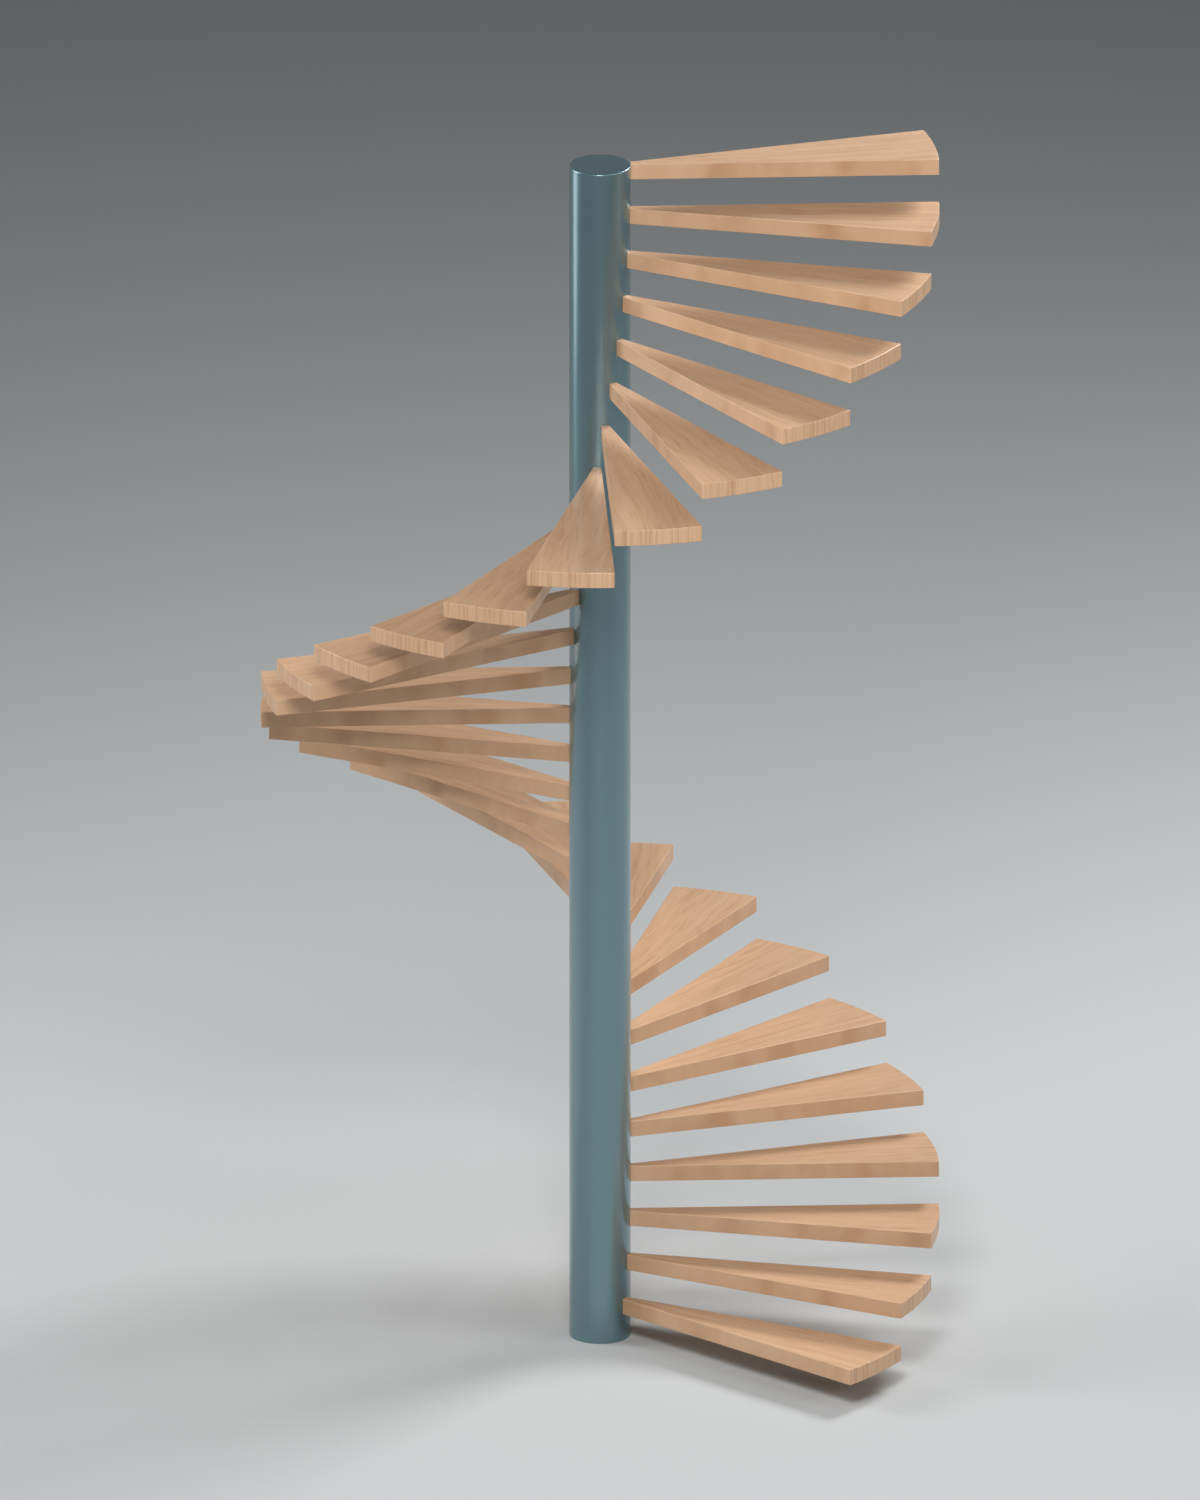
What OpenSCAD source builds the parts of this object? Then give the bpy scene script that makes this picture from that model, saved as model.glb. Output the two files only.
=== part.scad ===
// Spiral staircase: a steel column on a floor fixing, with solid wood treads
// that stand out of it one step of the turn apart. Millimetres, +Z up.
// The origin is the centre of the column's foot, and +X runs along the middle
// of the lowest tread. The stair climbs anticlockwise, seen from above.

/* [Stair] */
// Number of treads, and of risers from the floor to the top tread
tread_count = 28; // [6:1:50]
// Height from one tread's top to the next
riser = 176; // [120:1:220]
// Angle from one tread to the next, in degrees
turn_step = 15; // [10:0.5:30]

/* [Treads] */
// Radius of the treads' outer edge, from the column's axis
tread_reach = 1345; // [600:5:1800]
// Thickness of a tread
tread_thickness = 65; // [30:1:90]
// Angle that one tread covers, in degrees
tread_angle = 15; // [8:0.5:30]
// Gap between a tread's scribed inner end and the column
scribe_gap = 0; // [0:0.1:2]

/* [Column] */
// Outside diameter of the column tube
column_d = 244.5; // [140:0.5:400]
// Wall of the column tube
column_wall = 10; // [4:0.5:20]

/* [Top cap] */
// Thickness of the plate that closes the column's top
cap_thickness = 12; // [6:1:30]
// Radius of the cap's eased top edge
cap_edge_r = 3; // [1:0.5:5]

/* [Foot plate] */
// Thickness of the plate that closes the column's foot
foot_thickness = 25; // [12:1:40]
// Number of tapped fixing holes in a circle
foot_bolts = 4; // [3:1:8]
// Diameter of a fixing hole, as drilled for its thread
foot_hole_d = 21; // [10:0.5:30]
// Distance from the plate's rim to the centre of a fixing hole
foot_bolt_edge = 37; // [25:1:60]

/* [Hidden] */
$fn = 96;
paint_colour = [0.38, 0.49, 0.52];
wood_colour = [0.81, 0.66, 0.52];
primer_colour = [0.55, 0.56, 0.57];

total_rise = riser * tread_count;
column_r = column_d / 2;
bore_d = column_d - 2 * column_wall;
foot_bolt_circle_d = bore_d - 2 * foot_bolt_edge;
first_bolt_angle = 180 / foot_bolts;

function tread_name(i) = str("tread_", i < 10 ? "0" : "", i);

// The tube stands on the floor and stops under the cap.
module column_tube() {
    color(paint_colour)
    difference() {
        cylinder(h = total_rise - cap_thickness, d = column_d);
        translate([0, 0, -1])
        cylinder(h = total_rise - cap_thickness + 2, d = bore_d);
    }
}

// Half of the cap's section: a flat disc whose top edge is a quarter round.
module cap_section() {
    square([column_r - cap_edge_r, cap_thickness]);
    square([column_r, cap_thickness - cap_edge_r]);
    intersection() {
        translate([column_r - cap_edge_r, cap_thickness - cap_edge_r])
        circle(r = cap_edge_r);
        square([column_r, cap_thickness]);
    }
}

// The cap is welded on the tube's end, flush with the tube and the top tread.
module column_cap() {
    color(paint_colour)
    translate([0, 0, total_rise - cap_thickness])
    rotate_extrude()
    cap_section();
}

// The foot plate is welded inside the tube, flush with its lower end. Bolts
// that come up through the floor fixing screw into its holes.
module foot_plate() {
    color(primer_colour)
    difference() {
        cylinder(h = foot_thickness, d = bore_d);
        for (i = [0 : foot_bolts - 1])
            rotate([0, 0, first_bolt_angle + i * 360 / foot_bolts])
            translate([foot_bolt_circle_d / 2, 0, -1])
            cylinder(h = foot_thickness + 2, d = foot_hole_d);
    }
}

// A tread is a wedge between two upright planes through the axis, with its
// inner end scribed to the column. Tread i has its top i risers above the floor.
module tread(i) {
    inner_r = column_r + scribe_gap;
    color(wood_colour)
    translate([0, 0, i * riser - tread_thickness])
    rotate([0, 0, (i - 1) * turn_step - tread_angle / 2])
    rotate_extrude(angle = tread_angle)
    translate([inner_r, 0])
    square([tread_reach - inner_r, tread_thickness]);
}

column_tube();
column_cap();
foot_plate();
for (i = [1 : tread_count])
    tread(i);
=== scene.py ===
import math

import bmesh
import bpy
from mathutils import Matrix, Vector


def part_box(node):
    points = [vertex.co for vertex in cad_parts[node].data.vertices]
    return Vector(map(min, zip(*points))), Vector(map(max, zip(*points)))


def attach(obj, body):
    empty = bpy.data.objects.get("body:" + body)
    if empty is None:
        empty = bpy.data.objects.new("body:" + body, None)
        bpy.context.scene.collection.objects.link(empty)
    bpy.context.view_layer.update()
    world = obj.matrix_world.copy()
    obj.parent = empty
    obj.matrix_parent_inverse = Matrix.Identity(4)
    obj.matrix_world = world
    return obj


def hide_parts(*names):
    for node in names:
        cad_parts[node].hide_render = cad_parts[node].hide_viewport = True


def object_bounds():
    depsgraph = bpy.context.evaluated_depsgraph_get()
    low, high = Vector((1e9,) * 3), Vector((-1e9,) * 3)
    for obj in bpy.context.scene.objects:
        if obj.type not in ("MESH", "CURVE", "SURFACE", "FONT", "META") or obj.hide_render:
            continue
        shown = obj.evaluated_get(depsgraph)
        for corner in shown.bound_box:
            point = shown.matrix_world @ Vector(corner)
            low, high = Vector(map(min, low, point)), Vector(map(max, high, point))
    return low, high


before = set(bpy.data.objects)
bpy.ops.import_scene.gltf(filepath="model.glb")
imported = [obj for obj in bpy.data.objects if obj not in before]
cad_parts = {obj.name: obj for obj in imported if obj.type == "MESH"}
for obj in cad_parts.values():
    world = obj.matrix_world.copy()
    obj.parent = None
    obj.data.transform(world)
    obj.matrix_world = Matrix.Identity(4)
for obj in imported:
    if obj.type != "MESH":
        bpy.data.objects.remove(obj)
cad_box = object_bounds()
scene = bpy.context.scene
scene.view_settings.view_transform = "Standard"


# ---- Column ------------------------------------------------------------------
# One length of round steel tube carries the whole stair. Its ends are sawn square,
# the burr is taken off the foot, and it is sprayed a satin blue-grey. Sizes here and
# below are in metres.

tube_foot, tube_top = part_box("column_tube")
column_radius = tube_top.x
bore_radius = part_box("foot_plate")[1].x
foot_burr = 0.0012
facets_in_turn = 192  # at the column, one facet is longer than a tread's rounding is wide
sharp_angle = math.radians(30)
same_place = 1e-5
paint_colour = (0.172, 0.288, 0.33)
paint_roughness = 0.30
peel_cells = 170.0  # in a metre


def lathe(outline, radians=2 * math.pi, start=0.0):
    """Turns an outline of (radius, height) points about the column's axis. A whole turn whose
    outline starts on the axis needs no wall there. A part turn has a flat face at each end."""
    turned = bmesh.new()
    swing = Matrix.Rotation(start, 3, "Z")
    points = [turned.verts.new(swing @ Vector((radius, 0, height))) for radius, height in outline]
    whole_turn = radians == 2 * math.pi
    if whole_turn:
        profile = [turned.edges.new(pair) for pair in zip(points, points[1:])]
        if outline[0][0] > 0:
            profile.append(turned.edges.new((points[-1], points[0])))
    else:
        profile = [turned.faces.new(points)]
    steps = round(facets_in_turn * radians / (2 * math.pi))
    bmesh.ops.spin(turned, geom=profile, cent=(0, 0, 0), axis=(0, 0, 1), angle=radians,
                   steps=steps, use_merge=whole_turn)
    bmesh.ops.remove_doubles(turned, verts=turned.verts, dist=same_place)
    bmesh.ops.recalc_face_normals(turned, faces=turned.faces)
    return turned


def ring_at(shape, radius, height):
    """The edges of the circle that lies at a radius and a height."""
    def on_ring(vert):
        return abs(vert.co.xy.length - radius) < same_place and abs(vert.co.z - height) < same_place
    return [edge for edge in shape.edges if all(on_ring(vert) for vert in edge.verts)]


def round_over(shape, edges, width, segments):
    """Rounds some edges over, and marks the rounding so that a finish can be lighter there: worn on the
    treads, a painted highlight on the column.
    """
    rounding = shape.faces.layers.float.new("rounding")
    made = bmesh.ops.bevel(shape, geom=edges, offset=width, offset_type="OFFSET", affect="EDGES",
                           segments=segments, profile=0.5, material=-1)
    for face in made["faces"]:
        face[rounding] = 1.0


def make_piece(name, shape, material, node):
    """A finished piece that stands for a CAD node and rides with the stair."""
    rounding = shape.faces.layers.float["rounding"]
    for face in shape.faces:
        face.smooth = True
    for edge in shape.edges:
        one, other = edge.link_faces
        edge.smooth = one[rounding] == other[rounding] and edge.calc_face_angle() < sharp_angle
    mesh = bpy.data.meshes.new(name)
    shape.to_mesh(mesh)
    shape.free()
    mesh.materials.append(material)
    piece = bpy.data.objects.new(name, mesh)
    scene.collection.objects.link(piece)
    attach(piece, "root")
    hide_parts(node)
    return piece


def add_node(tree, kind, inputs=(), **settings):
    """Adds a shader node, sets it up, and links or fills its inputs."""
    made = tree.nodes.new(kind)
    for name, value in settings.items():
        setattr(made, name, value)
    for name, value in dict(inputs).items():
        if isinstance(value, bpy.types.NodeSocket):
            tree.links.new(value, made.inputs[name])
        else:
            made.inputs[name].default_value = value
    return made


def new_material(name):
    """A material with nothing in it but its output."""
    material = bpy.data.materials.new(name)
    material.use_nodes = True
    tree = material.node_tree
    tree.nodes.clear()
    return material, tree, tree.nodes.new("ShaderNodeOutputMaterial").inputs["Surface"]


def times(tree, one, other):
    return add_node(tree, "ShaderNodeMath", {0: one, 1: other}, operation="MULTIPLY").outputs[0]


def plus(tree, one, other):
    return add_node(tree, "ShaderNodeMath", {0: one, 1: other}, operation="ADD").outputs[0]


def drift(tree, vector, scale=1.0, detail=2.0):
    """Noise stretched to about -1 to 1, so that it changes nothing on average."""
    stretch = 4.0
    noise = add_node(tree, "ShaderNodeTexNoise", {"Vector": vector, "Scale": scale, "Detail": detail})
    return add_node(tree, "ShaderNodeMath", {0: noise.outputs["Fac"], 1: stretch, 2: -stretch / 2},
                    operation="MULTIPLY_ADD").outputs[0]


# No finish is quite even. Its tone and gloss drift from place to place, each in its own way,
# and it is lighter where it runs over a rounded edge: worn on a tread's edge, a painted
# highlight on the column's rims.
gloss_shift = (7.3, 2.9, 5.1)
uneven = bpy.data.node_groups.new("Uneven finish", "ShaderNodeTree")
for name, kind in {"Color": "Color", "Roughness": "Float", "Vector": "Vector", "Patches": "Float",
                   "Tone Drift": "Float", "Gloss Drift": "Float", "Edge Wear And Highlight": "Float"}.items():
    uneven.interface.new_socket(name, in_out="INPUT", socket_type="NodeSocket" + kind)
for name, kind in {"Color": "Color", "Roughness": "Float"}.items():
    uneven.interface.new_socket(name, in_out="OUTPUT", socket_type="NodeSocket" + kind)
given = uneven.nodes.new("NodeGroupInput").outputs
result = uneven.nodes.new("NodeGroupOutput").inputs
elsewhere = add_node(uneven, "ShaderNodeVectorMath", {0: given["Vector"], 1: gloss_shift},
                     operation="ADD").outputs[0]
tone = times(uneven, drift(uneven, given["Vector"], given["Patches"]), given["Tone Drift"])
gloss = times(uneven, drift(uneven, elsewhere, given["Patches"]), given["Gloss Drift"])
edge = add_node(uneven, "ShaderNodeAttribute", attribute_name="rounding").outputs["Fac"]
shift = plus(uneven, plus(uneven, tone, times(uneven, edge, given["Edge Wear And Highlight"])), 1.0)
toned = add_node(uneven, "ShaderNodeVectorMath", {0: given["Color"], "Scale": shift}, operation="SCALE")
uneven.links.new(toned.outputs[0], result["Color"])
uneven.links.new(plus(uneven, given["Roughness"], gloss), result["Roughness"])

column_paint, tree, surface = new_material("column_paint")
place = add_node(tree, "ShaderNodeTexCoord").outputs["Object"]
# The tube's foot burr and the cap's rounded rim are painted a quarter lighter than the rest: a painted
# highlight.
finish = add_node(tree, "ShaderNodeGroup", {
    "Color": (*paint_colour, 1), "Roughness": paint_roughness, "Vector": place, "Patches": 1.6,
    "Tone Drift": 0.03, "Gloss Drift": 0.02, "Edge Wear And Highlight": 0.25}, node_tree=uneven)
orange_peel = add_node(tree, "ShaderNodeBump", {
    "Strength": 0.05, "Distance": 0.0005, "Height": drift(tree, place, peel_cells, detail=0.0)})
paint = add_node(tree, "ShaderNodeBsdfPrincipled", {
    "Base Color": finish.outputs["Color"], "Roughness": finish.outputs["Roughness"],
    "Normal": orange_peel.outputs["Normal"], "Metallic": 0.78,
    "Coat Weight": 0.8, "Coat Roughness": 0.14})
tree.links.new(paint.outputs[0], surface)

tube = lathe([(bore_radius, tube_foot.z), (column_radius, tube_foot.z),
              (column_radius, tube_top.z), (bore_radius, tube_top.z)])
round_over(tube, ring_at(tube, column_radius, tube_foot.z), foot_burr, segments=3)
make_piece("painted_tube", tube, column_paint, "column_tube")


# ---- Column cap --------------------------------------------------------------
# A steel disc is welded on the tube's end, and the weld is dressed flush. Its top
# edge is rounded by hand, and it is painted with the column.

cap_under, cap_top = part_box("column_cap")
cap_round = 0.003

cap = lathe([(0, cap_under.z), (column_radius, cap_under.z), (column_radius, cap_top.z), (0, cap_top.z)])
round_over(cap, ring_at(cap, column_radius, cap_top.z), cap_round, segments=5)
make_piece("painted_cap", cap, column_paint, "column_cap")


# ---- Foot plate --------------------------------------------------------------
# A turned steel plate is welded inside the column's foot. It is left bare: tool
# marks run round it, and its four holes are tapped for the bolts in the floor.

steel_colour = (0.27, 0.28, 0.29)
tool_marks = 260.0

foot_steel, tree, surface = new_material("foot_steel")
place = add_node(tree, "ShaderNodeTexCoord").outputs["Object"]
finish = add_node(tree, "ShaderNodeGroup", {
    "Color": (*steel_colour, 1), "Roughness": 0.42, "Vector": place, "Patches": 14.0,
    "Tone Drift": 0.12, "Gloss Drift": 0.08}, node_tree=uneven)
turning = add_node(tree, "ShaderNodeTexWave", {"Vector": place, "Scale": tool_marks, "Distortion": 0.4},
                   wave_type="RINGS", rings_direction="Z")
turned_bump = add_node(tree, "ShaderNodeBump", {
    "Strength": 0.25, "Distance": 0.0003, "Height": turning.outputs["Fac"]})
steel = add_node(tree, "ShaderNodeBsdfPrincipled", {
    "Base Color": finish.outputs["Color"], "Roughness": finish.outputs["Roughness"],
    "Normal": turned_bump.outputs["Normal"], "Metallic": 0.9})
tree.links.new(steel.outputs[0], surface)
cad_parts["foot_plate"].material_slots[0].material = foot_steel


# ---- Treads ------------------------------------------------------------------
# Each tread is a thick wedge of solid light wood with the grain along its length,
# under a satin lacquer. Its edges are eased by hand, and its inner end is scribed
# to the column, where hidden steel blades carry it.

tread_names = sorted(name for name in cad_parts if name.startswith("tread_"))
tread_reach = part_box(tread_names[0])[1].x
tread_step = math.radians(15)
tread_sweep = math.radians(15)
tread_ease = 0.0028
wood_colour = (0.63, 0.388, 0.225)
wood_dark = (0.40, 0.190, 0.070)
lacquer_roughness = 0.62
sway_width = 0.011
board_shift = Vector((0.83, 0.37, 0.0))

# How much of the dark tone the wood has all over, and how much each kind of mark adds.
ground_tone = 0.14
band_tone = 0.18
ring_tone, ring_tone_on_end = 0.07, 0.50
blotch_tone = 0.34
flame_tone = 0.28
fibre_tone, fibre_tone_off_side = 0.02, 0.10
pore_tone = 0.30
ring_relief = 0.5  # where the fibres' own is 1

tread_wood, tree, surface = new_material("tread_wood")
grain = add_node(tree, "ShaderNodeAttribute", attribute_name="grain").outputs["Vector"]
coordinates = add_node(tree, "ShaderNodeTexCoord").outputs
place, facing = coordinates["Object"], coordinates["Normal"]


def marks(vector, length, across, through, detail=1.0):
    """Soft marks in the wood, as long, as broad and as deep as given in metres."""
    marks_in_metre = (1 / length, 1 / across, 1 / through)
    stretched = add_node(tree, "ShaderNodeVectorMath", {0: vector, 1: marks_in_metre},
                         operation="MULTIPLY").outputs[0]
    return drift(tree, stretched, detail=detail)


def above(marked, start, full):
    """Only the deepest part of some marks: nothing below start, the whole mark at full."""
    return add_node(tree, "ShaderNodeMapRange", {
        "Value": marked, "From Min": start, "From Max": full}).outputs["Result"]


def mix_colours(tree, share, one, other):
    """One colour where the share is 0, the other where it is 1. A colour mix has its two
    colours in inputs 6 and 7, and its result in output 2."""
    return add_node(tree, "ShaderNodeMix", {"Factor": share, 6: one, 7: other},
                    data_type="RGBA").outputs[2]


# The board's faces are told apart by which way they look: a pore shows as a dash on
# the flats and as nothing on the sides, and growth rings show best on the end.
facing_up = add_node(tree, "ShaderNodeSeparateXYZ", {0: facing}).outputs["Z"]
flat = add_node(tree, "ShaderNodeMath", {0: facing_up}, operation="ABSOLUTE").outputs[0]
from_axis = add_node(tree, "ShaderNodeVectorMath", {0: place, 1: (1, 1, 0)},
                     operation="MULTIPLY").outputs[0]
outward = add_node(tree, "ShaderNodeVectorMath", {0: from_axis}, operation="NORMALIZE").outputs[0]
facing_out = add_node(tree, "ShaderNodeVectorMath", {0: facing, 1: outward},
                      operation="DOT_PRODUCT").outputs["Value"]
end = add_node(tree, "ShaderNodeMath", {0: facing_out, 1: 0.0}, operation="MAXIMUM").outputs[0]
side = add_node(tree, "ShaderNodeMath", {0: 1.0, 1: plus(tree, flat, end)},
                operation="SUBTRACT", use_clamp=True).outputs[0]

sway = marks(grain, length=0.34, across=0.060, through=0.5)
swayed = add_node(tree, "ShaderNodeVectorMath", {0: sway, 1: (0, sway_width, 0), 2: grain},
                  operation="MULTIPLY_ADD").outputs[0]
bands = marks(swayed, length=0.9, across=0.030, through=0.5)
rings = marks(swayed, length=0.30, across=0.0085, through=0.35, detail=2.0)
flames = above(marks(swayed, length=0.17, across=0.0130, through=0.30, detail=2.0),
               start=0.15, full=0.75)
blotches = above(marks(grain, length=0.15, across=0.30, through=0.30), start=0.0, full=0.75)
fibres = marks(swayed, length=0.11, across=0.0026, through=0.25, detail=2.0)
pores = above(marks(swayed, length=0.05, across=0.0035, through=0.20), start=0.70, full=1.0)

ring_show = plus(tree, times(tree, end, ring_tone_on_end), ring_tone)
fibre_show = plus(tree, times(tree, plus(tree, flat, end), fibre_tone_off_side), fibre_tone)
darkness = plus(tree, times(tree, bands, band_tone), ground_tone)
darkness = plus(tree, darkness, times(tree, rings, ring_show))
darkness = plus(tree, darkness, times(tree, times(tree, blotches, side), blotch_tone))
darkness = plus(tree, darkness, times(tree, times(tree, flames, flat), flame_tone))
darkness = plus(tree, darkness, times(tree, fibres, fibre_show))
darkness = plus(tree, darkness, times(tree, times(tree, pores, flat), pore_tone))
toned_wood = mix_colours(tree, darkness, (*wood_colour, 1), (*wood_dark, 1))
finish = add_node(tree, "ShaderNodeGroup", {
    "Color": toned_wood, "Roughness": lacquer_roughness, "Vector": grain, "Patches": 1.3,
    "Tone Drift": 0.035, "Gloss Drift": 0.03, "Edge Wear And Highlight": 0.06}, node_tree=uneven)
grain_bump = add_node(tree, "ShaderNodeBump", {
    "Strength": 0.2, "Distance": 0.0005, "Height": plus(tree, fibres, times(tree, rings, ring_relief))})
wood = add_node(tree, "ShaderNodeBsdfPrincipled", {
    "Base Color": finish.outputs["Color"], "Roughness": finish.outputs["Roughness"],
    "Normal": grain_bump.outputs["Normal"], "IOR": 1.5, "Specular IOR Level": 0.8,
    "Coat Weight": 0.4, "Coat Roughness": 0.22})
tree.links.new(wood.outputs[0], surface)

for count, node in enumerate(tread_names):
    under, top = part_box(node)
    middle = count * tread_step
    wedge = lathe([(column_radius, under.z), (tread_reach, under.z),
                   (tread_reach, top.z), (column_radius, top.z)],
                  radians=tread_sweep, start=middle - tread_sweep / 2)
    eased = [edge for edge in wedge.edges if edge.calc_face_angle() > sharp_angle
             and max(vert.co.xy.length for vert in edge.verts) > column_radius + same_place]
    round_over(wedge, eased, tread_ease, segments=3)
    piece = make_piece("wood_" + node, wedge, tread_wood, node)
    along_own_length = Matrix.Rotation(-middle, 3, "Z")
    from_underside = Vector((0, 0, under.z))
    own_grain = piece.data.attributes.new("grain", "FLOAT_VECTOR", "POINT")
    for vert in piece.data.vertices:
        place_in_board = along_own_length @ (vert.co - from_underside) + board_shift * count
        own_grain.data[vert.index].vector = place_in_board


# ---- Floor -------------------------------------------------------------------
# The stair stands on a wide, plain, pale studio floor with a matt paint. The floor
# lies a hair under the foot, and a camera below it looks up through it.

floor_reach = 150.0
floor_gap = 0.0002
floor_colour = (0.525, 0.541, 0.543)

floor_paint, tree, surface = new_material("floor_paint")
matt = add_node(tree, "ShaderNodeBsdfPrincipled", {
    "Base Color": (*floor_colour, 1), "Roughness": 0.9, "Specular IOR Level": 0.1})
clear = add_node(tree, "ShaderNodeBsdfTransparent")
from_below = times(tree, add_node(tree, "ShaderNodeNewGeometry").outputs["Backfacing"],
                   add_node(tree, "ShaderNodeLightPath").outputs["Is Camera Ray"])
either = add_node(tree, "ShaderNodeMixShader", {0: from_below, 1: matt.outputs[0], 2: clear.outputs[0]})
tree.links.new(either.outputs[0], surface)

floor_shape = bmesh.new()
bmesh.ops.create_grid(floor_shape, x_segments=1, y_segments=1, size=floor_reach,
                      matrix=Matrix.Translation((0, 0, -floor_gap)))
floor_mesh = bpy.data.meshes.new("floor")
floor_shape.to_mesh(floor_mesh)
floor_shape.free()
floor_mesh.materials.append(floor_paint)
floor = bpy.data.objects.new("floor", floor_mesh)
scene.collection.objects.link(floor)


# ---- Camera ------------------------------------------------------------------
# The view has no perspective. It looks down a little at the stair, from the right
# of its lowest tread.

view_turn = math.radians(35)
view_height = math.radians(20)
view_span = 5.943
view_distance = 12.0
view_drop = 0.004

back = Vector((math.sin(view_turn) * math.cos(view_height),
               -math.cos(view_turn) * math.cos(view_height),
               math.sin(view_height)))
camera_data = bpy.data.cameras.new("camera")
camera_data.type = "ORTHO"
camera_data.ortho_scale = view_span
camera_data.clip_end = 400.0
camera = bpy.data.objects.new("camera", camera_data)
camera.location = Vector((0, 0, (cad_box[0].z + cad_box[1].z) / 2 - view_drop)) + back * view_distance
camera.rotation_euler = back.to_track_quat("Z", "Y").to_euler()
scene.collection.objects.link(camera)
scene.camera = camera


# ---- Lamps -------------------------------------------------------------------
# Round soft lamps stand about the stair and face it: a main one high in front, one
# high behind it on the right, and softer ones that fill the shadows. A lamp's turn
# is measured anticlockwise from the camera's right and, like its climb, in degrees.

lamp_aim = Vector((0, 0, 1.5))


def add_lamp(name, turn, climb, distance, size, power):
    turn, climb = math.radians(turn), math.radians(climb)
    level = math.cos(climb)
    toward = Vector((level * math.cos(turn), level * math.sin(turn), math.sin(climb)))
    lamp_data = bpy.data.lights.new(name, "AREA")
    lamp_data.shape = "DISK"
    lamp_data.size = size
    lamp_data.energy = power
    lamp = bpy.data.objects.new(name, lamp_data)
    lamp.visible_camera = False
    lamp.location = Matrix.Rotation(view_turn, 3, "Z") @ toward * distance
    lamp.rotation_euler = (lamp.location - lamp_aim).to_track_quat("Z", "Y").to_euler()
    scene.collection.objects.link(lamp)


add_lamp("front_lamp", turn=-92, climb=45.5, distance=12.3, size=3.1, power=668)
add_lamp("rim_lamp", turn=42.6, climb=51.3, distance=12.1, size=3.8, power=835)
add_lamp("left_lamp", turn=174, climb=35.4, distance=10.5, size=5.0, power=385)
add_lamp("right_lamp", turn=-30.6, climb=59.7, distance=16.9, size=6.4, power=240)
add_lamp("right_front_lamp", turn=-16, climb=27, distance=12.0, size=4.0, power=165)
add_lamp("glint_lamp", turn=165, climb=27, distance=6.7, size=2.5, power=31)


# ---- Room --------------------------------------------------------------------
# The studio's walls are pale and lit low down, and fade into a dark ceiling. Below
# the floor's level a camera sees the floor's own tone.

wall_colour = (0.53, 0.535, 0.54)
ceiling_colour = (0.038, 0.046, 0.055)
under_colour = (0.56, 0.58, 0.59)
wall_top = 0.43  # the sine of the climb at which the ceiling begins

room = bpy.data.worlds.new("room")
room.use_nodes = True
tree = room.node_tree
looking = add_node(tree, "ShaderNodeTexCoord").outputs["Generated"]
climb = add_node(tree, "ShaderNodeSeparateXYZ", {0: looking}).outputs["Z"]
up_wall = add_node(tree, "ShaderNodeMapRange", {"Value": climb, "From Min": 0.0, "From Max": wall_top},
                   interpolation_type="SMOOTHSTEP").outputs["Result"]
wall = mix_colours(tree, up_wall, (*wall_colour, 1), (*ceiling_colour, 1))
below = add_node(tree, "ShaderNodeMath", {0: climb, 1: 0.0}, operation="LESS_THAN").outputs[0]
seen = mix_colours(tree, below, wall, (*under_colour, 1))
tree.links.new(seen, tree.nodes["Background"].inputs["Color"])
scene.world = room
